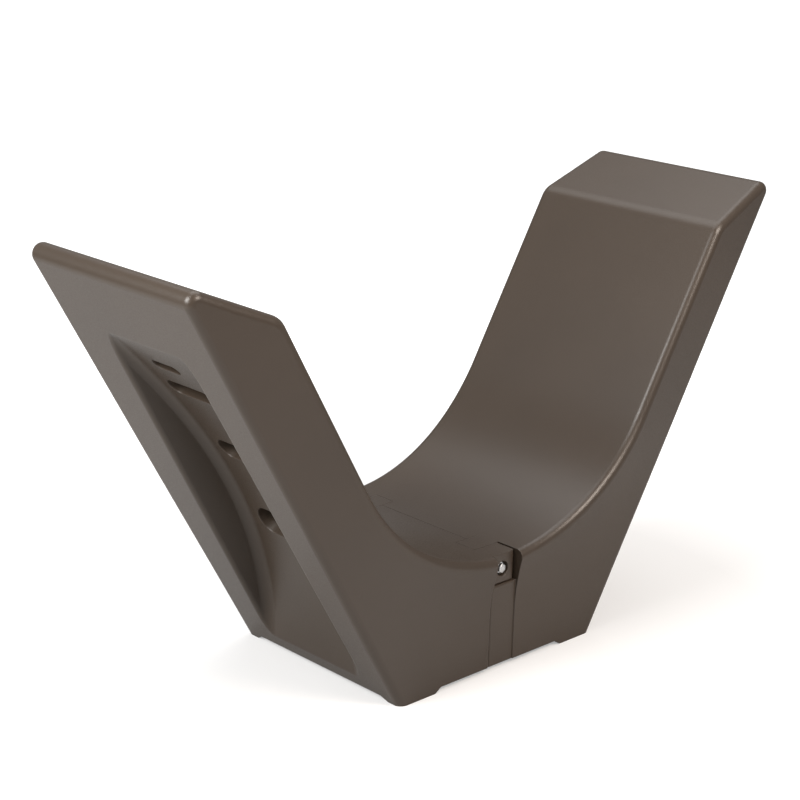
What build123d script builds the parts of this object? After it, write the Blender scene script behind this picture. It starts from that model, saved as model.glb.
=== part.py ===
from build123d import *
import math
import os

# A free-standing trough made of two identical hollow-moulded halves, bolted together at the middle.
# X runs along the trough's width, Y from front (minus) to back (plus), Z up.
# The origin lies on the floor at the middle of the base. All sizes are in millimetres.

# Overall form
base_width = 420.0
overall_height = 687.0
side_depth = 350.0
wall_lean = 30.0
arm_thickness = 108.0
trough_floor = 188.0
top_slope = 23.0
nose_radius = 16.0
lip_radius = 36.0
flare_rate = 0.137
flare_start = 90.0
flare_full = 330.0
flare_steps = 6
edge_radius = 12.0

# Moulded skin of the hollow halves
skin = 4.5

# Feet
foot_height = 8.0
foot_length = 72.0
foot_depth = 26.0
foot_slope = 12.0

# Recess in each outer wall, measured up the slope from the floor
recess_bottom = 34.0
recess_top = 664.0
recess_depth = 53.0
recess_deep_low = 230.0
recess_deep_high = 420.0
recess_front_top = 96.0
recess_front_bottom = 110.0
recess_back_top = 76.0
recess_back_bottom = 105.0
recess_draft = 15.0
recess_valley_radius = 18.0
recess_rim_radius = 8.0

# Pockets that tie the outer skin to the trough's skin: place up the slope, then size at the outer wall
pocket_places = [606.0, 546.0, 408.0, 261.0]
pocket_lengths = [62.0, 108.0, 113.0, 117.0]
pocket_heights = [24.0, 40.0, 52.0, 63.0]
pocket_draft = 8.0
pocket_floor = 6.0

# Lapped joint at the middle
lap_half = 24.0
lap_height = 140.0
tongue_thickness = 40.0
lug_thickness = 40.0
tongue_setback = 3.0
tongue_side_gap = 4.0
tab_setback = 1.5
tab_step_height = 112.0
seam_gap = 0.5
joint_wall = 12.0
lap_edge_radius = 3.0

# Fasteners
bolt_height = 164.0
bolt_radius = 4.0
bolt_length = 50.0
bolt_head_across = 13.0
bolt_head_height = 5.3
bolt_chamfer = 0.8
washer_radius = 9.0
washer_thickness = 1.6
counterbore_radius = 12.0
counterbore_depth = 7.0
hole_clearance = 0.4
insert_radius = 6.5
insert_length = 20.0
insert_groove_depth = 0.8
insert_groove_width = 3.0
insert_clearance = 0.1
seat_gap = 0.2

# Places worked out from the sizes above
half_base = base_width / 2
half_depth = side_depth / 2
lean = math.radians(wall_lean)
lean_cos = math.cos(lean)
lean_sin = math.sin(lean)
lean_tan = math.tan(lean)
top_angle = math.radians(top_slope)
margin = 60.0
reach = half_depth + 2 * margin
past_seam = lap_half + margin
outer_top = half_base + overall_height * lean_tan + margin

# The trough is one arc tangent to both leaning walls
wall_offset = half_base * lean_cos - arm_thickness
trough_radius = (wall_offset + trough_floor * lean_sin) / (1 - lean_sin)
trough_centre = trough_floor + trough_radius

# The nose is an arc between the outer wall and the sloping top
nose_z = overall_height - nose_radius
nose_x = half_base + nose_z * lean_tan - nose_radius / lean_cos
top_x = nose_x - nose_radius * math.sin(top_angle)
top_z = nose_z + nose_radius * math.cos(top_angle)
trough_line_x = wall_offset / lean_cos
top_fall = math.tan(top_angle)
lip_z = (top_z - top_fall * (top_x - trough_line_x)) / (1 - top_fall * lean_tan)
lip_x = trough_line_x + lip_z * lean_tan

# Layers of the joint from front to back, and the face that the fastener stands in
lug_face = half_depth - tongue_thickness
core_face = lug_face - lug_thickness
tongue_face = half_depth - tongue_setback
seat_face = tongue_face - counterbore_depth
half_gap = seam_gap / 2

# Planes on the left outer wall: looking into it, and cut along its slope
slope_way = (-lean_sin, 0, lean_cos)
inward_plane = Plane(origin=(-half_base, 0, 0), x_dir=slope_way, z_dir=(lean_cos, 0, lean_sin))
slope_plane = Plane(origin=(-half_base, 0, 0), x_dir=slope_way, z_dir=(0, -1, 0))


def flare(z):
    """Rate at which the front leans out towards the trough at height z"""
    share = min(max((z - flare_start) / (flare_full - flare_start), 0.0), 1.0)
    return flare_rate * share * share * (3 - 2 * share)


def front_reach(x, z, inset):
    """Half depth of the moulding at x and z on the left side"""
    return half_depth - inset + flare(z) * (x + half_base + z * lean_tan)


def level_sketch(z, inset):
    """Outline of the moulding's fronts at height z, wider than the body to left and right"""
    front_low = front_reach(-outer_top, z, inset)
    front_high = front_reach(past_seam + margin, z, inset)
    with BuildSketch(Plane.XY.offset(z)) as level:
        with BuildLine():
            Polyline(
                (-outer_top, -front_low),
                (past_seam + margin, -front_high),
                (past_seam + margin, front_high),
                (-outer_top, front_low),
                close=True,
            )
        make_face()
    return level.sketch


def front_envelope(inset):
    """Block between the two fronts: upright below, leaning out above, with a smooth turn between"""
    turn = [flare_start + (flare_full - flare_start) * step / flare_steps for step in range(flare_steps + 1)]
    with BuildPart() as envelope:
        loft([level_sketch(z, inset) for z in (-margin, flare_start)], ruled=True)
        loft([level_sketch(z, inset) for z in turn])
        loft([level_sketch(z, inset) for z in (flare_full, overall_height + margin)], ruled=True)
    return envelope.part


def body_blank(inset, bottom, radius):
    """Left half as a plain block, inset on every side and running past the middle"""
    with BuildPart() as blank:
        with BuildSketch(Plane.XZ):
            with BuildLine():
                floor_line = Line((past_seam, bottom), (-half_base - bottom * lean_tan, bottom))
                nose_start = (-nose_x - nose_radius * lean_cos, nose_z - nose_radius * lean_sin)
                nose_middle = (-nose_x - nose_radius * lean_sin, nose_z + nose_radius * lean_cos)
                outer_line = Line(floor_line @ 1, nose_start)
                nose_arc = ThreePointArc(outer_line @ 1, nose_middle, (-top_x, top_z))
                top_line = Line(nose_arc @ 1, (-lip_x, lip_z))
                wall_end = (-trough_radius * lean_cos, trough_centre - trough_radius * lean_sin)
                Line(top_line @ 1, wall_end)
                past_end = trough_centre - math.sqrt(trough_radius**2 - past_seam**2)
                trough_arc = ThreePointArc(wall_end, (0, trough_floor), (past_seam, past_end))
                Line(trough_arc @ 1, floor_line @ 0)
            face = make_face()
            fillet(face.vertices().sort_by_distance((-lip_x, lip_z, 0))[0], lip_radius)
            if inset > 0:
                offset(amount=-inset, mode=Mode.REPLACE)
        extrude(amount=reach, both=True)
        add(front_envelope(inset), mode=Mode.INTERSECT)
        fronts = blank.faces().filter_by(lambda f: abs(f.normal_at().Y) > 0.9)
        rim = fronts.edges().filter_by(lambda e: e.center().X < past_seam - 1 and e.center().Z > bottom + 1)
        fillet(rim, radius)
    return blank.part


def recess_tool(grow):
    """Block that hollows the outer wall; its floor is a shallow curve and its sides are drafted"""
    draft = math.radians(recess_draft)
    widen = (grow + margin * math.sin(draft)) / math.cos(draft)
    with BuildPart() as tool:
        with BuildSketch(inward_plane.offset(-margin)):
            with BuildLine():
                Polyline(
                    (recess_bottom - margin, -recess_back_bottom - widen),
                    (recess_top + margin, -recess_back_top - widen),
                    (recess_top + margin, recess_front_top + widen),
                    (recess_bottom - margin, recess_front_bottom + widen),
                    close=True,
                )
            make_face()
        extrude(amount=2 * margin + recess_depth, taper=recess_draft)
        with BuildSketch(slope_plane.offset(-reach)):
            with BuildLine():
                floor_curve = Spline(
                    (recess_bottom, -grow),
                    (recess_deep_low, -recess_depth - grow),
                    (recess_deep_high, -recess_depth - grow),
                    (recess_top, -grow),
                )
                low_end = floor_curve @ 0 - (floor_curve % 0) * margin
                high_end = floor_curve @ 1 + (floor_curve % 1) * margin
                Line(low_end, floor_curve @ 0)
                Line(floor_curve @ 1, high_end)
                Polyline(high_end, (high_end.X, margin), (low_end.X, margin), low_end)
            make_face()
        extrude(amount=2 * reach, mode=Mode.INTERSECT)
        floor_edges = tool.edges().filter_by(GeomType.BSPLINE).filter_by(lambda e: e.length > recess_top / 2)
        fillet(floor_edges, recess_valley_radius + grow)
    return tool.part


def lap_edges(half):
    """Upright and level edges of the joint that show from the front: seam, tongue and rear tab"""
    seam = (-lap_half - seam_gap, -half_depth)
    corners = [(seam, 0), ((lap_half, -tongue_face), 1), ((lap_half, half_depth - tab_setback), 0)]
    chosen = []
    for edge in half.edges().filter_by(GeomType.LINE):
        place = edge.center()
        for (x, y), above in corners:
            near = abs(place.X - x) < tab_setback and abs(place.Y - y) <= tab_setback
            if near and (place.Z > lap_height) == bool(above):
                chosen.append(edge)
        level = abs(edge.tangent_at(0.5).X) > 0.999 and abs(place.X) < 1
        on_tongue = abs(place.Y + tongue_face) < 1 and abs(place.Z - lap_height) < 1
        on_tab = abs(place.Y - half_depth) < 1 and abs(place.Z - lap_height) < 1
        if level and (on_tongue or on_tab):
            chosen.append(edge)
    return chosen


def recess_mouth(half):
    """Edges round the mouth of the recess in the outer wall"""
    walls = half.faces().filter_by(lambda f: f.normal_at().dot(inward_plane.z_dir) < -0.999)
    return walls.sort_by(SortBy.AREA)[-1].inner_wires().edges()


def pocket_tool(grow, depth):
    """Four drafted slots that run from the recess's floor towards the trough"""
    widen = 2 * grow / math.cos(math.radians(pocket_draft))
    with BuildPart() as tool:
        for place, length, height in zip(pocket_places, pocket_lengths, pocket_heights):
            with BuildSketch(inward_plane):
                with Locations((place, 0)):
                    SlotOverall(length + widen, height + widen, rotation=90)
            extrude(amount=depth, taper=pocket_draft)
    return tool.part


def slab(x_low, x_high, y_low, y_high, z_low, z_high, mode=Mode.ADD):
    """Square block between two corners"""
    with Locations((x_low, y_low, z_low)):
        Box(
            x_high - x_low,
            y_high - y_low,
            z_high - z_low,
            align=(Align.MIN, Align.MIN, Align.MIN),
            mode=mode,
        )


def foot_relief():
    """Everything under the base that isn't a foot"""
    with BuildPart() as relief:
        slab(-half_base - margin, past_seam + margin, -reach, reach, -margin, foot_height)
        for side in (-1, 1):
            for z, spread in ((foot_height, foot_slope), (0, 0), (-margin, 0)):
                length = foot_length + spread + margin
                depth = foot_depth + spread + margin
                with BuildSketch(Plane.XY.offset(z)):
                    with Locations((length / 2 - half_base - margin, side * (half_depth + margin - depth / 2))):
                        Rectangle(length, depth)
            loft(ruled=True, mode=Mode.SUBTRACT)
    return relief.part


def joint_region():
    """Space that the left half may fill at the middle: front tongue, rear lug and rear tab"""
    low = -outer_top - margin
    high = overall_height + margin
    with BuildPart() as region:
        slab(low, -lap_half - seam_gap, -reach, reach, -margin, high)
        slab(low, -half_gap, half_gap - core_face, core_face - half_gap, -margin, high)
        slab(low, -half_gap, half_gap - lug_face, lug_face - half_gap, -margin, lap_height - half_gap)
        slab(low, lap_half, -reach, -lug_face - half_gap, lap_height + half_gap, high)
        slab(low, lap_half, core_face + half_gap, lug_face - half_gap, lap_height + half_gap, high)
        slab(low, lap_half, lug_face + half_gap, reach, -margin, lap_height - half_gap)
        notch = lap_half + tongue_side_gap
        slab(-notch, lap_half, lug_face - half_gap, reach, lap_height, high, Mode.SUBTRACT)
        slab(-lap_half, lap_half, -reach, -tongue_face, lap_height, high, Mode.SUBTRACT)
        tab_face = half_depth - tab_setback
        with BuildSketch(Plane.YZ.offset(-notch)):
            with BuildLine():
                Polyline(
                    (tab_face, -margin),
                    (tab_face, tab_step_height),
                    (half_depth + tab_setback, lap_height + lap_height - tab_step_height),
                    (reach, lap_height),
                    (reach, -margin),
                    close=True,
                )
            make_face()
        extrude(amount=notch + lap_half, mode=Mode.SUBTRACT)
    return region.part


def cavity_region():
    """Space inside the left half that may be hollow, clear of the joint's solid blocks"""
    block = lap_half + joint_wall
    low = -outer_top
    with BuildPart() as region:
        slab(low, -block, -reach, reach, 0, overall_height)
        slab(low, -skin, joint_wall - core_face, core_face - joint_wall, 0, overall_height)
    return region.part


# Left half: hollow moulding with its recess, pockets, feet and its side of the joint
outer_blank = body_blank(0, 0, edge_radius)
inner_blank = body_blank(skin, foot_height, edge_radius - skin)

with BuildPart() as cavity:
    add(inner_blank)
    add(cavity_region(), mode=Mode.INTERSECT)
    add(recess_tool(skin), mode=Mode.SUBTRACT)
    add(pocket_tool(skin, arm_thickness + margin), mode=Mode.SUBTRACT)

with BuildPart() as left_half:
    add(outer_blank)
    add(joint_region(), mode=Mode.INTERSECT)
    fillet(lap_edges(left_half), lap_edge_radius)
    add(foot_relief(), mode=Mode.SUBTRACT)
    add(recess_tool(0), mode=Mode.SUBTRACT)
    fillet(recess_mouth(left_half), recess_rim_radius)
    add(pocket_tool(0, arm_thickness - pocket_floor), mode=Mode.SUBTRACT)
    add(cavity.part, mode=Mode.SUBTRACT)
    # Front bolt hole with its counterbore
    with BuildSketch(Plane.XZ.offset(tongue_face)):
        with Locations((0, bolt_height)):
            Circle(counterbore_radius)
    extrude(amount=-counterbore_depth, mode=Mode.SUBTRACT)
    with BuildSketch(Plane.XZ.offset(tongue_face)):
        with Locations((0, bolt_height)):
            Circle(bolt_radius + hole_clearance)
    extrude(amount=-tongue_thickness, mode=Mode.SUBTRACT)
    # Rear lug: seat of the threaded insert, and room for the bolt's end
    with BuildSketch(Plane.XZ.offset(-lug_face)):
        with Locations((0, bolt_height)):
            Circle(insert_radius + insert_clearance)
    extrude(amount=insert_length + seat_gap + half_gap, mode=Mode.SUBTRACT)
    with BuildSketch(Plane.XZ.offset(-lug_face)):
        with Locations((0, bolt_height)):
            Circle(bolt_radius + hole_clearance)
    extrude(amount=lug_thickness, mode=Mode.SUBTRACT)

# Right half: the same moulding turned half a turn about the vertical axis
with BuildPart() as right_half:
    add(left_half.part.rotate(Axis.Z, 180))

# Washer on the counterbore's floor
with BuildPart() as front_washer:
    with BuildSketch(Plane.XZ.offset(seat_face + seat_gap)):
        with Locations((0, bolt_height)):
            Circle(washer_radius)
            Circle(bolt_radius + hole_clearance, mode=Mode.SUBTRACT)
    extrude(amount=washer_thickness)

# Hexagon bolt, its head on the washer and its shank in the insert
head_seat = seat_face + washer_thickness + 2 * seat_gap
with BuildPart() as front_bolt:
    with BuildSketch(Plane.XZ.offset(head_seat)):
        with Locations((0, bolt_height)):
            RegularPolygon(bolt_head_across / 2, 6, major_radius=False)
    extrude(amount=bolt_head_height)
    head_top = front_bolt.faces().sort_by(Axis.Y)[0]
    chamfer(head_top.edges(), bolt_chamfer)
    with BuildSketch(Plane.XZ.offset(head_seat)):
        with Locations((0, bolt_height)):
            Circle(bolt_radius)
    extrude(amount=-bolt_length)
    shank_end = front_bolt.faces().sort_by(Axis.Y)[-1]
    chamfer(shank_end.edges(), bolt_chamfer)

# Threaded insert with two grip grooves, set in the other half's lug
insert_face = lug_face - half_gap
with BuildPart() as front_insert:
    with BuildSketch(Plane.XZ.offset(insert_face)):
        with Locations((0, bolt_height)):
            Circle(insert_radius)
    extrude(amount=-insert_length)
    for groove in (1, 2):
        groove_place = insert_face - insert_length * groove / 3 + insert_groove_width / 2
        with BuildSketch(Plane.XZ.offset(groove_place)):
            with Locations((0, bolt_height)):
                Circle(insert_radius)
                Circle(insert_radius - insert_groove_depth, mode=Mode.SUBTRACT)
        extrude(amount=-insert_groove_width, mode=Mode.SUBTRACT)
    with BuildSketch(Plane.XZ.offset(insert_face)):
        with Locations((0, bolt_height)):
            Circle(bolt_radius + insert_clearance)
    extrude(amount=-insert_length, mode=Mode.SUBTRACT)

# The same fasteners at the back
with BuildPart() as back_washer:
    add(front_washer.part.rotate(Axis.Z, 180))

with BuildPart() as back_bolt:
    add(front_bolt.part.rotate(Axis.Z, 180))

with BuildPart() as back_insert:
    add(front_insert.part.rotate(Axis.Z, 180))

pieces = {
    "left_half": left_half,
    "right_half": right_half,
    "front_bolt": front_bolt,
    "back_bolt": back_bolt,
    "front_washer": front_washer,
    "back_washer": back_washer,
    "front_insert": front_insert,
    "back_insert": back_insert,
}
os.makedirs("parts", exist_ok=True)
for name, piece in pieces.items():
    piece.part.label = name
    export_step(piece.part, f"parts/{name}.step")
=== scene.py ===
import math
from collections import namedtuple

import bmesh
import bpy
from bpy.props import FloatProperty, FloatVectorProperty, IntProperty, PointerProperty
from mathutils import Matrix, Vector


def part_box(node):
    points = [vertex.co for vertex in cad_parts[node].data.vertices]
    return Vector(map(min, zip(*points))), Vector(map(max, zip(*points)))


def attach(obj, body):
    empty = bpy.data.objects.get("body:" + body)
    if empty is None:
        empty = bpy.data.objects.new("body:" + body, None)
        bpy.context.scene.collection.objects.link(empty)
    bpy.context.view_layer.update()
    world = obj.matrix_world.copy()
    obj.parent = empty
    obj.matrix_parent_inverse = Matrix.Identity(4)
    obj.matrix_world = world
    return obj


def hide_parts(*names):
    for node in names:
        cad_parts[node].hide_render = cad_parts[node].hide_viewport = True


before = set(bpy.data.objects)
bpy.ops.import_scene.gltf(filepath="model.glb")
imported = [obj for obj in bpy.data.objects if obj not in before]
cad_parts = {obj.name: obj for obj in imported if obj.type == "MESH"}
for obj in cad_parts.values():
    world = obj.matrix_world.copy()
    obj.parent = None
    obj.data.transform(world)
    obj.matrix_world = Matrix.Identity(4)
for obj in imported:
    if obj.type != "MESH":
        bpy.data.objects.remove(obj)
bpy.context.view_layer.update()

bl_info = {
    "name": "Log holder",
    "version": (1, 0, 0),
    "blender": (4, 5, 0),
    "location": "3D View > Sidebar > Log holder",
    "description": "Finishes a moulded log holder: its plastic, its threaded fasteners and its studio",
    "category": "Object",
}

HALVES = ("left_half", "right_half")
SIDES = ("front", "back")
OUTWARD = {"front": -1, "back": 1}

WELD_DISTANCE = 1e-7
ROWS_PER_PITCH = 6
THREAD_END_CUT = 0.4
CHAMFER_STEPS = 3
CORNER_STEPS = 4

# Sockets of a colour mix node, which share their names with its other kinds
MIX_SHARE, MIX_FIRST, MIX_SECOND, MIX_RESULT = 0, 6, 7, 2

WHITE = (1.0, 1.0, 1.0)

Lamp = namedtuple("Lamp", "name place target width power tone")
LAMPS = (
    Lamp("key_left", (-2.4, 0.3, 1.7), (-0.6, 0, 0.7), 1.4, 104.0, (1.0, 0.985, 0.965)),
    Lamp("overhead", (0.5, 0.6, 3.0), (0.1, 0, 0.3), 2.6, 48.0, WHITE),
    Lamp("front_fill", (0.1, -2.0, 2.1), (0.1, 0, 0.75), 1.2, 70.0, (1.0, 0.88, 0.78)),
)


class LogHolderPlastic(bpy.types.PropertyGroup):
    """Look of the moulded plastic"""

    tone: FloatVectorProperty(
        name="Tone",
        description="Base colour of the plastic",
        default=(0.042, 0.030, 0.021),
        size=3,
        subtype="COLOR",
        min=0.0,
        max=1.0,
    )
    cloud_tone: FloatProperty(
        name="Cloud tone",
        description="Tone of the dull patches as a share of the base colour",
        default=0.88,
        min=0.0,
    )
    worn_tone: FloatProperty(
        name="Worn tone",
        description="Tone of the worn rims as a multiple of the base colour",
        default=1.9,
        min=0.0,
    )
    worn_share: FloatProperty(
        name="Worn share",
        description="How far a fully worn rim takes on the worn tone",
        default=0.35,
        subtype="FACTOR",
        min=0.0,
        max=1.0,
    )
    roughness: FloatVectorProperty(
        name="Roughness",
        description="Lowest and highest roughness of the skin",
        default=(0.3, 0.42),
        size=2,
        min=0.0,
        max=1.0,
    )
    grain_size: FloatProperty(
        name="Grain size",
        description="Width of one pebble of the moulded grain",
        default=0.0012,
        unit="LENGTH",
    )
    grain_height: FloatProperty(
        name="Grain height",
        description="Height of the moulded grain",
        default=0.00012,
        unit="LENGTH",
    )
    grain_strength: FloatProperty(
        name="Grain strength",
        description="Share of the grain's height that shows",
        default=0.36,
        subtype="FACTOR",
        min=0.0,
        max=1.0,
    )
    waviness: FloatProperty(
        name="Waviness",
        description="Height of the long waves beside the pebbles",
        default=0.6,
        min=0.0,
    )
    rim_radius: FloatProperty(
        name="Rim radius",
        description="Radius that softens crisp rims in the shading",
        default=0.002,
        unit="LENGTH",
    )
    rim_wear: FloatProperty(
        name="Rim wear",
        description="Strength of the wear on crisp rims",
        default=0.9,
        min=0.0,
    )


class LogHolderMetal(bpy.types.PropertyGroup):
    """Look of the zinc-plated steel and the brass"""

    zinc_tone: FloatVectorProperty(
        name="Zinc tone",
        description="Colour of the bright zinc plating",
        default=(0.66, 0.67, 0.68),
        size=3,
        subtype="COLOR",
        min=0.0,
        max=1.0,
    )
    zinc_dull: FloatVectorProperty(
        name="Dull zinc",
        description="Colour of the plating's dull patches",
        default=(0.5, 0.51, 0.52),
        size=3,
        subtype="COLOR",
        min=0.0,
        max=1.0,
    )
    zinc_roughness: FloatProperty(
        name="Zinc roughness",
        description="Lowest roughness of the zinc plating",
        default=0.25,
        min=0.0,
        max=1.0,
    )
    brass_tone: FloatVectorProperty(
        name="Brass tone",
        description="Colour of the bright brass",
        default=(0.72, 0.56, 0.28),
        size=3,
        subtype="COLOR",
        min=0.0,
        max=1.0,
    )
    brass_dull: FloatVectorProperty(
        name="Dull brass",
        description="Colour of the brass's dull patches",
        default=(0.6, 0.45, 0.22),
        size=3,
        subtype="COLOR",
        min=0.0,
        max=1.0,
    )
    brass_roughness: FloatProperty(
        name="Brass roughness",
        description="Lowest roughness of the brass",
        default=0.3,
        min=0.0,
        max=1.0,
    )
    roughness_span: FloatProperty(
        name="Roughness span",
        description="Difference between the roughest and the smoothest spots",
        default=0.15,
        min=0.0,
    )
    mark_size: FloatProperty(
        name="Mark size",
        description="Width of one tool mark",
        default=0.0006,
        unit="LENGTH",
    )
    mark_height: FloatProperty(
        name="Mark height",
        description="Height of the tool marks",
        default=0.00003,
        unit="LENGTH",
    )
    mark_strength: FloatProperty(
        name="Mark strength",
        description="Share of the tool marks' height that shows",
        default=0.3,
        subtype="FACTOR",
        min=0.0,
        max=1.0,
    )
    waviness: FloatProperty(
        name="Waviness",
        description="Height of the long waves beside the tool marks",
        default=0.1,
        min=0.0,
    )
    rim_radius: FloatProperty(
        name="Rim radius",
        description="Radius that softens crisp rims in the shading",
        default=0.0004,
        unit="LENGTH",
    )
    rim_wear: FloatProperty(
        name="Rim wear",
        description="Strength of the wear on crisp rims",
        default=1.0,
        min=0.0,
    )
    rim_tone: FloatProperty(
        name="Rim tone",
        description="Tone of the worn rims as a multiple of the bright colour",
        default=1.15,
        min=0.0,
    )


class LogHolderFasteners(bpy.types.PropertyGroup):
    """Sizes of the bolts and washers that the frame doesn't give"""

    head_height: FloatProperty(
        name="Head height",
        description="Height of the bolt's head",
        default=0.0053,
        unit="LENGTH",
    )
    head_chamfer: FloatProperty(
        name="Head chamfer",
        description="Width of the bevel round the head's outer face",
        default=0.0008,
        unit="LENGTH",
    )
    shank_radius: FloatProperty(
        name="Shank radius",
        description="Radius of the bolt's shank over the thread",
        default=0.004,
        unit="LENGTH",
    )
    pitch: FloatProperty(
        name="Pitch",
        description="Distance between thread turns",
        default=0.00125,
        unit="LENGTH",
    )
    thread_depth: FloatProperty(
        name="Thread depth",
        description="Depth of the thread",
        default=0.0006,
        unit="LENGTH",
    )
    thread_start: FloatProperty(
        name="Thread start",
        description="Plain length of the shank under the head",
        default=0.02,
        unit="LENGTH",
    )
    washer_bore: FloatProperty(
        name="Washer bore",
        description="Radius of the washer's hole",
        default=0.0044,
        unit="LENGTH",
    )
    washer_rounding: FloatProperty(
        name="Washer rounding",
        description="Radius of the washer's outer edges",
        default=0.0004,
        unit="LENGTH",
    )
    segments: IntProperty(
        name="Segments",
        description="Sides of the round forms",
        default=48,
        min=12,
    )
    crease_angle: FloatProperty(
        name="Crease angle",
        description="Edges sharper than this stay crisp",
        default=math.radians(35),
        subtype="ANGLE",
    )


class LogHolderStage(bpy.types.PropertyGroup):
    """Camera, floor and surrounding light of the studio"""

    azimuth: FloatProperty(
        name="Azimuth",
        description="Turn of the view about Z",
        default=math.radians(-44.1),
        subtype="ANGLE",
    )
    elevation: FloatProperty(
        name="Elevation",
        description="Height angle of the view",
        default=math.radians(17.6),
        subtype="ANGLE",
    )
    roll: FloatProperty(
        name="Roll",
        description="Roll of the camera",
        default=math.radians(1.6),
        subtype="ANGLE",
    )
    place: FloatVectorProperty(
        name="Place",
        description="Where the camera stands",
        default=(-2.046, -2.051, 1.3059),
        size=3,
        subtype="XYZ",
        unit="LENGTH",
    )
    lens: FloatProperty(
        name="Lens",
        description="Focal length in millimetres",
        default=89.06,
        min=10.0,
    )
    sensor: FloatProperty(
        name="Sensor",
        description="Width of the camera's sensor in millimetres",
        default=36.0,
        min=1.0,
    )
    floor_size: FloatProperty(
        name="Floor size",
        description="Width of the floor",
        default=30.0,
        unit="LENGTH",
    )
    floor_tones: FloatVectorProperty(
        name="Floor tones",
        description="Darkest and lightest grey of the floor",
        default=(0.52, 0.54),
        size=2,
        min=0.0,
        max=1.0,
    )
    glow_reach: FloatVectorProperty(
        name="Glow reach",
        description="Distances from the middle between which the floor's glow rises",
        default=(0.6, 1.5),
        size=2,
        unit="LENGTH",
    )
    # The near strength is lower than the far one, which paints shade on the floor round the object
    glow_and_painted_shade: FloatVectorProperty(
        name="Glow strength",
        description="Glow of the floor to the camera, near the object and far from it",
        default=(0.36, 0.95),
        size=2,
        min=0.0,
    )
    sky_strength: FloatProperty(
        name="Sky strength",
        description="Strength of the white surroundings",
        default=0.36,
        min=0.0,
    )


SETTINGS = {
    "log_holder_plastic": LogHolderPlastic,
    "log_holder_metal": LogHolderMetal,
    "log_holder_fasteners": LogHolderFasteners,
    "log_holder_stage": LogHolderStage,
}


def link_piece(name, bm, material):
    """Turn a closed bmesh into an object at the origin"""
    bmesh.ops.recalc_face_normals(bm, faces=bm.faces)
    mesh = bpy.data.meshes.new(name)
    bm.to_mesh(mesh)
    bm.free()
    mesh.materials.append(material)
    piece = bpy.data.objects.new(name, mesh)
    bpy.context.scene.collection.objects.link(piece)
    return piece


def shade(piece, angle):
    """Smooth shading with creases above an angle"""
    piece.data.polygons.foreach_set("use_smooth", [True] * len(piece.data.polygons))
    piece.data.set_sharp_from_angle(angle=angle)


def rgba(tone, factor=1.0):
    """Opaque colour of a tone times a factor, kept within white"""
    return tuple(min(1.0, factor * part) for part in tone) + (1.0,)


def group_tree(name, inputs, outputs):
    """New shader node group with named sockets, and its input and output nodes"""
    tree = bpy.data.node_groups.new(name, "ShaderNodeTree")
    for label, kind, value in inputs:
        socket = tree.interface.new_socket(name=label, in_out="INPUT", socket_type=kind)
        socket.default_value = value
    for label, kind in outputs:
        tree.interface.new_socket(name=label, in_out="OUTPUT", socket_type=kind)
    return tree, tree.nodes.new("NodeGroupInput"), tree.nodes.new("NodeGroupOutput")


def math_node(tree, operation, first, second):
    """Math node between two sockets or values"""
    node = tree.nodes.new("ShaderNodeMath")
    node.operation = operation
    for socket, value in zip(node.inputs, (first, second)):
        if isinstance(value, (int, float)):
            socket.default_value = value
        else:
            tree.links.new(value, socket)
    return node.outputs[0]


def object_place(tree):
    """Object coordinates"""
    return tree.nodes.new("ShaderNodeTexCoord").outputs["Object"]


def noise(tree, place, scale, detail):
    """Noise from 0 to 1; the scale is a socket or a value"""
    node = tree.nodes.new("ShaderNodeTexNoise")
    node.inputs["Detail"].default_value = detail
    tree.links.new(place, node.inputs["Vector"])
    if isinstance(scale, (int, float)):
        node.inputs["Scale"].default_value = scale
    else:
        tree.links.new(scale, node.inputs["Scale"])
    return node.outputs["Fac"]


def grain_group():
    """Fine pebble grain with faint long waves, as a moulded skin has"""
    tree, given, out = group_tree(
        "MouldedGrain",
        [("Pebble", "NodeSocketFloat", 0.0012), ("Waviness", "NodeSocketFloat", 0.5)],
        [("Height", "NodeSocketFloat"), ("Tone", "NodeSocketFloat"), ("Polish", "NodeSocketFloat")],
    )
    place = object_place(tree)
    pebble_scale = math_node(tree, "DIVIDE", 1.0, given.outputs["Pebble"])
    cells = tree.nodes.new("ShaderNodeTexVoronoi")
    cells.feature = "SMOOTH_F1"
    cells.inputs["Smoothness"].default_value = 0.6
    tree.links.new(place, cells.inputs["Vector"])
    tree.links.new(pebble_scale, cells.inputs["Scale"])
    speck_scale = math_node(tree, "MULTIPLY", pebble_scale, 0.6)
    specks = noise(tree, place, scale=speck_scale, detail=3.0)
    long_waves = noise(tree, place, scale=9.0, detail=1.0)
    clouds = noise(tree, place, scale=3.5, detail=4.0)
    pebbles = math_node(tree, "ADD", cells.outputs["Distance"], specks)
    waves = math_node(tree, "MULTIPLY", long_waves, given.outputs["Waviness"])
    tree.links.new(math_node(tree, "ADD", pebbles, waves), out.inputs["Height"])
    tree.links.new(clouds, out.inputs["Tone"])
    tree.links.new(specks, out.inputs["Polish"])
    return tree


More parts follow.
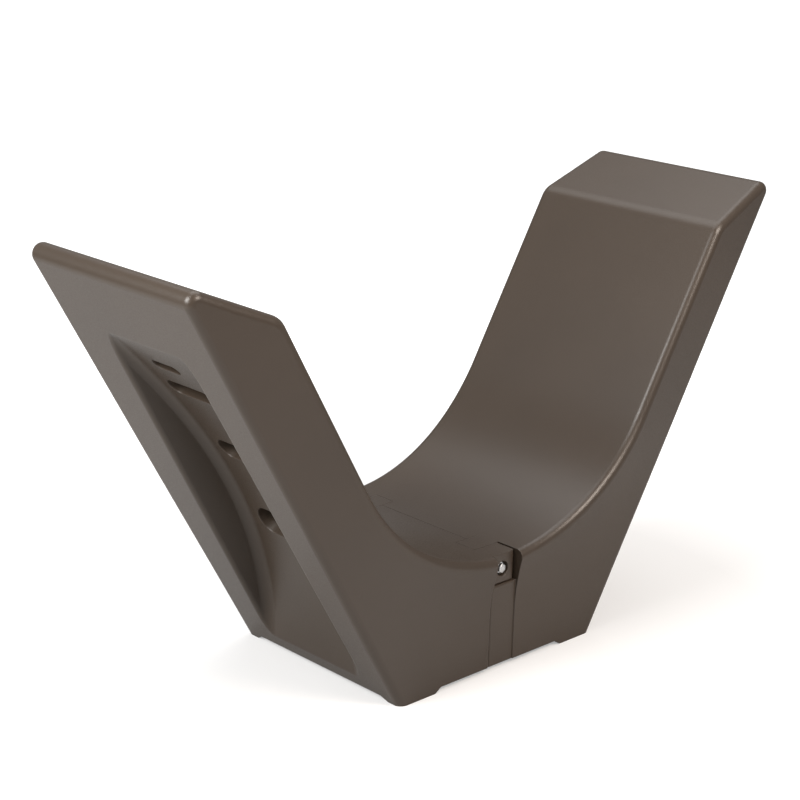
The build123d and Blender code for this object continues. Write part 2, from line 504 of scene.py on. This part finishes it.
def rim_group():
    """Soft normal round crisp rims, and a mask of where they are"""
    tree, given, out = group_tree(
        "RimWear",
        [("Radius", "NodeSocketFloat", 0.003), ("Wear", "NodeSocketFloat", 1.0)],
        [("Normal", "NodeSocketVector"), ("Rim", "NodeSocketFloat")],
    )
    bevel = tree.nodes.new("ShaderNodeBevel")
    bevel.samples = 6
    tree.links.new(given.outputs["Radius"], bevel.inputs["Radius"])
    surface = tree.nodes.new("ShaderNodeNewGeometry")
    along = tree.nodes.new("ShaderNodeVectorMath")
    along.operation = "DOT_PRODUCT"
    tree.links.new(bevel.outputs["Normal"], along.inputs[0])
    tree.links.new(surface.outputs["Normal"], along.inputs[1])
    turned = math_node(tree, "SUBTRACT", 1.0, along.outputs["Value"])
    contrast = math_node(tree, "MULTIPLY", turned, 4.0)
    patches = noise(tree, object_place(tree), scale=60.0, detail=5.0)
    worn = math_node(tree, "MULTIPLY", contrast, patches)
    strength = math_node(tree, "MULTIPLY", worn, given.outputs["Wear"])
    tree.links.new(math_node(tree, "MINIMUM", strength, 1.0), out.inputs["Rim"])
    tree.links.new(bevel.outputs["Normal"], out.inputs["Normal"])
    return tree


def shared_group(name):
    """The node group of this name, made on first use"""
    makers = {"MouldedGrain": grain_group, "RimWear": rim_group}
    return bpy.data.node_groups.get(name) or makers[name]()


def use_group(tree, name, values):
    """Shared node group in a material with its values set"""
    node = tree.nodes.new("ShaderNodeGroup")
    node.node_tree = shared_group(name)
    for label, value in values.items():
        node.inputs[label].default_value = value
    return node


def mix_colour(tree, share, first, second):
    """Colour mix between two colours by a share socket"""
    node = tree.nodes.new("ShaderNodeMix")
    node.data_type = "RGBA"
    for index, value in ((MIX_FIRST, first), (MIX_SECOND, second)):
        if isinstance(value, tuple):
            node.inputs[index].default_value = value
        else:
            tree.links.new(value, node.inputs[index])
    tree.links.new(share, node.inputs[MIX_SHARE])
    return node.outputs[MIX_RESULT]


def ramp(tree, value, given, wanted):
    """Value carried from one (low, high) range to another, clamped"""
    node = tree.nodes.new("ShaderNodeMapRange")
    tree.links.new(value, node.inputs["Value"])
    for label, number in zip(("From Min", "From Max", "To Min", "To Max"), (*given, *wanted)):
        node.inputs[label].default_value = number
    return node.outputs["Result"]


def skin_bump(tree, shader, height, normal, strength, distance):
    """Bump of the skin on top of the softened normal"""
    bump = tree.nodes.new("ShaderNodeBump")
    bump.inputs["Strength"].default_value = strength
    bump.inputs["Distance"].default_value = distance
    tree.links.new(height, bump.inputs["Height"])
    tree.links.new(normal, bump.inputs["Normal"])
    tree.links.new(bump.outputs["Normal"], shader.inputs["Normal"])


def new_material(name):
    """Empty node material, its tree and its Principled BSDF"""
    material = bpy.data.materials.new(name)
    material.use_nodes = True
    return material, material.node_tree, material.node_tree.nodes["Principled BSDF"]


def plastic_material(settings):
    """Dark moulded plastic with pebble grain, paler worn rims and dull patches"""
    material, tree, shader = new_material("MouldedPlastic")
    skin = use_group(tree, "MouldedGrain", {"Pebble": settings.grain_size, "Waviness": settings.waviness})
    rim = use_group(tree, "RimWear", {"Radius": settings.rim_radius, "Wear": settings.rim_wear})
    cloud_share = ramp(tree, skin.outputs["Tone"], (0.35, 0.65), (0.0, 1.0))
    clouds = mix_colour(tree, cloud_share, rgba(settings.tone, settings.cloud_tone), rgba(settings.tone))
    rubbed = ramp(tree, rim.outputs["Rim"], (0.0, 1.0), (0.0, settings.worn_share))
    colour = mix_colour(tree, rubbed, clouds, rgba(settings.tone, settings.worn_tone))
    tree.links.new(colour, shader.inputs["Base Color"])
    roughness = ramp(tree, skin.outputs["Polish"], (0.3, 0.7), settings.roughness)
    tree.links.new(roughness, shader.inputs["Roughness"])
    skin_bump(
        tree,
        shader,
        skin.outputs["Height"],
        rim.outputs["Normal"],
        settings.grain_strength,
        settings.grain_height,
    )
    return material


def metal_material(name, tone, dull, roughness, settings):
    """Plated or turned metal with fine tool marks and worn rims"""
    material, tree, shader = new_material(name)
    skin = use_group(tree, "MouldedGrain", {"Pebble": settings.mark_size, "Waviness": settings.waviness})
    rim = use_group(tree, "RimWear", {"Radius": settings.rim_radius, "Wear": settings.rim_wear})
    patches = ramp(tree, skin.outputs["Polish"], (0.35, 0.65), (0.0, 1.0))
    plating = mix_colour(tree, patches, rgba(dull), rgba(tone))
    colour = mix_colour(tree, rim.outputs["Rim"], plating, rgba(tone, settings.rim_tone))
    tree.links.new(colour, shader.inputs["Base Color"])
    span = (roughness, roughness + settings.roughness_span)
    tree.links.new(ramp(tree, skin.outputs["Polish"], (0.3, 0.7), span), shader.inputs["Roughness"])
    shader.inputs["Metallic"].default_value = 1.0
    skin_bump(
        tree,
        shader,
        skin.outputs["Height"],
        rim.outputs["Normal"],
        settings.mark_strength,
        settings.mark_height,
    )
    return material


def zinc_material():
    """The zinc-plated steel of bolts and washers, made on first use"""
    settings = bpy.context.scene.log_holder_metal
    return bpy.data.materials.get("ZincSteel") or metal_material(
        "ZincSteel", settings.zinc_tone, settings.zinc_dull, settings.zinc_roughness, settings
    )


def floor_material(settings):
    """Pale matt floor with a faint mottle; away from the object it shows white to the camera, and near
    the object its weaker glow is painted shade round the base
    """
    material, tree, shader = new_material("PaleFloor")
    place = object_place(tree)
    mottle = ramp(tree, noise(tree, place, scale=1.5, detail=2.0), (0.3, 0.7), (0.0, 1.0))
    darkest, lightest = (rgba((grey,) * 3) for grey in settings.floor_tones)
    tree.links.new(mix_colour(tree, mottle, darkest, lightest), shader.inputs["Base Color"])
    shader.inputs["Roughness"].default_value = 0.9
    shader.inputs["Specular IOR Level"].default_value = 0.2
    away = tree.nodes.new("ShaderNodeVectorMath")
    away.operation = "LENGTH"
    tree.links.new(place, away.inputs[0])
    seen = tree.nodes.new("ShaderNodeLightPath").outputs["Is Camera Ray"]
    # Painted shade: the floor glows less to the camera near the object, so it shows darker round the
    # base, on top of the real cast shadow there
    glow_with_painted_shade = ramp(tree, away.outputs["Value"], settings.glow_reach, settings.glow_and_painted_shade)
    shader.inputs["Emission Color"].default_value = rgba(WHITE)
    tree.links.new(math_node(tree, "MULTIPLY", glow_with_painted_shade, seen), shader.inputs["Emission Strength"])
    return material


def add_head(bm, across, settings):
    """Hexagon head up from the origin, flats above and below, bevelled round its outer face"""
    ring = bmesh.ops.create_circle(bm, cap_ends=True, segments=6, radius=across / math.sqrt(3))
    faces = list({face for vert in ring["verts"] for face in vert.link_faces})
    raised = bmesh.ops.extrude_face_region(bm, geom=faces)
    top = [item for item in raised["geom"] if isinstance(item, bmesh.types.BMVert)]
    bmesh.ops.translate(bm, verts=top, vec=(0, 0, settings.head_height))
    middle = settings.head_height / 2
    rim = [edge for edge in bm.edges if all(vert.co.z > middle for vert in edge.verts)]
    bmesh.ops.bevel(
        bm,
        geom=rim,
        offset=settings.head_chamfer,
        segments=CHAMFER_STEPS,
        profile=0.5,
        affect="EDGES",
        material=-1,
        clamp_overlap=True,
    )


def thread_cut(depth, turn, length, settings):
    """Depth of the thread at a depth along the shank and a share of a turn"""
    past_start = (depth - settings.thread_start) / settings.pitch
    if past_start <= 0:
        return 0.0
    phase = (past_start - turn) % 1.0
    fade = min(1.0, past_start, (length - depth) / settings.pitch + THREAD_END_CUT)
    return settings.thread_depth * fade * (1 - abs(2 * phase - 1))


def add_shank(bm, length, settings):
    """Threaded shank down from the origin: a sheet wrapped round the axis and capped"""
    pitches = (length - settings.thread_start) / settings.pitch
    grid = bmesh.ops.create_grid(
        bm, x_segments=settings.segments, y_segments=int(pitches * ROWS_PER_PITCH), size=0.5
    )
    for vert in grid["verts"]:
        turn = vert.co.x + 0.5
        depth = (vert.co.y + 0.5) * length
        angle = turn * 2 * math.pi
        radius = settings.shank_radius - thread_cut(depth, turn, length, settings)
        vert.co = Vector((radius * math.cos(angle), radius * math.sin(angle), -depth))
    bmesh.ops.remove_doubles(bm, verts=grid["verts"], dist=WELD_DISTANCE)
    open_rims = [edge for edge in bm.edges if edge.is_boundary]
    bmesh.ops.holes_fill(bm, edges=open_rims, sides=0)


def bolt_mesh(low, high, outward, settings):
    """Hexagon bolt along Y between two corners, its head at the outward end"""
    bm = bmesh.new()
    add_head(bm, high.z - low.z, settings)
    add_shank(bm, high.y - low.y - settings.head_height, settings)
    centre = (low + high) / 2
    if outward < 0:
        quarter, seat = math.pi / 2, low.y + settings.head_height
    else:
        quarter, seat = -math.pi / 2, high.y - settings.head_height
    bmesh.ops.transform(bm, matrix=Matrix.Rotation(quarter, 4, "X"), verts=bm.verts)
    bmesh.ops.translate(bm, verts=bm.verts, vec=(centre.x, seat, centre.z))
    return bm


def spun_ring(low, high, profile, segments):
    """Ring about an axis along Y through the middle of a box; the profile is radius and Y"""
    centre = (low + high) / 2
    bm = bmesh.new()
    verts = [bm.verts.new((centre.x + radius, y, centre.z)) for radius, y in profile]
    edges = [bm.edges.new((first, second)) for first, second in zip(verts, verts[1:] + verts[:1])]
    bmesh.ops.spin(
        bm,
        geom=verts + edges,
        cent=(centre.x, 0, centre.z),
        axis=(0, 1, 0),
        angle=2 * math.pi,
        steps=segments,
        use_merge=True,
    )
    bmesh.ops.remove_doubles(bm, verts=bm.verts, dist=WELD_DISTANCE)
    return bm


def rounded_band(inner, outer, low, high, radius):
    """Closed profile of a flat band with softened outer corners, as (radius, Y) points"""
    angles = [math.pi / 2 * step / CORNER_STEPS for step in range(1, CORNER_STEPS)]
    middle = outer - radius
    points = [(inner, low), (middle, low)]
    for angle in angles:
        points.append((middle + radius * math.sin(angle), low + radius - radius * math.cos(angle)))
    points += [(outer, low + radius), (outer, high - radius)]
    for angle in angles:
        points.append((middle + radius * math.cos(angle), high - radius + radius * math.sin(angle)))
    points += [(middle, high), (inner, high)]
    return points


def add_lamp(lamp):
    """Square soft light aimed at a point"""
    light = bpy.data.lights.new(lamp.name, "AREA")
    light.size = lamp.width
    light.energy = lamp.power
    light.color = lamp.tone
    holder = bpy.data.objects.new(lamp.name, light)
    aim = (Vector(lamp.target) - Vector(lamp.place)).to_track_quat("-Z", "Y")
    holder.matrix_world = Matrix.Translation(lamp.place) @ aim.to_matrix().to_4x4()
    bpy.context.scene.collection.objects.link(holder)


def add_sky(strength):
    """White surroundings"""
    world = bpy.data.worlds.new("studio")
    world.use_nodes = True
    background = world.node_tree.nodes["Background"]
    background.inputs["Color"].default_value = rgba(WHITE)
    background.inputs["Strength"].default_value = strength
    bpy.context.scene.world = world


def camera_turn(azimuth, elevation, roll):
    """Rotation of a camera by the direction it stands in and its roll"""
    right = Vector((math.cos(azimuth), math.sin(azimuth), 0))
    back = Vector(
        (
            math.sin(azimuth) * math.cos(elevation),
            -math.cos(azimuth) * math.cos(elevation),
            math.sin(elevation),
        )
    )
    up = back.cross(right)
    rolled_right = right * math.cos(roll) + up * math.sin(roll)
    rolled_up = up * math.cos(roll) - right * math.sin(roll)
    return Matrix((rolled_right, rolled_up, back)).transposed()


def add_camera(settings):
    """The photograph's camera"""
    lens = bpy.data.cameras.new("camera")
    lens.sensor_width = settings.sensor
    lens.lens = settings.lens
    camera = bpy.data.objects.new("camera", lens)
    turn = camera_turn(settings.azimuth, settings.elevation, settings.roll)
    camera.matrix_world = Matrix.Translation(settings.place) @ turn.to_4x4()
    bpy.context.scene.collection.objects.link(camera)
    bpy.context.scene.camera = camera


class LOGHOLDER_OT_halves(bpy.types.Operator):
    """Give both moulded halves their plastic"""

    bl_idname = "logholder.halves"
    bl_label = "Finish halves"

    def execute(self, context):
        material = plastic_material(context.scene.log_holder_plastic)
        for name in HALVES:
            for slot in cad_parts[name].material_slots:
                slot.material = material
        return {"FINISHED"}


class LOGHOLDER_OT_bolts(bpy.types.Operator):
    """Make the two threaded bolts"""

    bl_idname = "logholder.bolts"
    bl_label = "Make bolts"

    def execute(self, context):
        settings = context.scene.log_holder_fasteners
        for side in SIDES:
            low, high = (Vector(corner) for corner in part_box(f"{side}_bolt"))
            bm = bolt_mesh(low, high, OUTWARD[side], settings)
            piece = link_piece(f"bolt_{side}", bm, zinc_material())
            shade(piece, settings.crease_angle)
            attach(piece, "root")
            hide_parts(f"{side}_bolt")
        return {"FINISHED"}


class LOGHOLDER_OT_washers(bpy.types.Operator):
    """Make the two washers"""

    bl_idname = "logholder.washers"
    bl_label = "Make washers"

    def execute(self, context):
        settings = context.scene.log_holder_fasteners
        for side in SIDES:
            low, high = (Vector(corner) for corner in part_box(f"{side}_washer"))
            outer = (high.z - low.z) / 2
            profile = rounded_band(settings.washer_bore, outer, low.y, high.y, settings.washer_rounding)
            bm = spun_ring(low, high, profile, settings.segments)
            piece = link_piece(f"washer_{side}", bm, zinc_material())
            shade(piece, settings.crease_angle)
            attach(piece, "root")
            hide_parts(f"{side}_washer")
        return {"FINISHED"}


class LOGHOLDER_OT_inserts(bpy.types.Operator):
    """Give the threaded inserts their brass"""

    bl_idname = "logholder.inserts"
    bl_label = "Finish inserts"

    def execute(self, context):
        settings = context.scene.log_holder_metal
        material = metal_material(
            "InsertBrass", settings.brass_tone, settings.brass_dull, settings.brass_roughness, settings
        )
        for side in SIDES:
            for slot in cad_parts[f"{side}_insert"].material_slots:
                slot.material = material
        return {"FINISHED"}


class LOGHOLDER_OT_stage(bpy.types.Operator):
    """Set the floor, the lights and the camera"""

    bl_idname = "logholder.stage"
    bl_label = "Set stage"

    def execute(self, context):
        settings = context.scene.log_holder_stage
        bm = bmesh.new()
        bmesh.ops.create_grid(bm, x_segments=2, y_segments=2, size=settings.floor_size / 2)
        floor = link_piece("floor", bm, floor_material(settings))
        for lamp in LAMPS:
            add_lamp(lamp)
        add_sky(settings.sky_strength)
        add_camera(settings)
        context.scene.view_settings.view_transform = "Standard"
        return {"FINISHED"}


class LOGHOLDER_PT_panel(bpy.types.Panel):
    """Lists the steps that finish the log holder"""

    bl_idname = "LOGHOLDER_PT_panel"
    bl_label = "Log holder"
    bl_space_type = "VIEW_3D"
    bl_region_type = "UI"
    bl_category = "Log holder"

    def draw(self, context):
        layout = self.layout
        for name in ("halves", "bolts", "washers", "inserts", "stage"):
            layout.operator(f"logholder.{name}")
        for name in SETTINGS:
            settings = getattr(context.scene, name)
            box = layout.box()
            for field in settings.__annotations__:
                box.prop(settings, field)


CLASSES = (
    *SETTINGS.values(),
    LOGHOLDER_OT_halves,
    LOGHOLDER_OT_bolts,
    LOGHOLDER_OT_washers,
    LOGHOLDER_OT_inserts,
    LOGHOLDER_OT_stage,
    LOGHOLDER_PT_panel,
)


def register():
    for item in CLASSES:
        bpy.utils.register_class(item)
    for name, settings in SETTINGS.items():
        setattr(bpy.types.Scene, name, PointerProperty(type=settings))


def unregister():
    for name in SETTINGS:
        delattr(bpy.types.Scene, name)
    for item in reversed(CLASSES):
        bpy.utils.unregister_class(item)


def main():
    register()
    bpy.ops.logholder.halves()
    bpy.ops.logholder.bolts()
    bpy.ops.logholder.washers()
    bpy.ops.logholder.inserts()
    bpy.ops.logholder.stage()


if __name__ == "__main__":
    main()
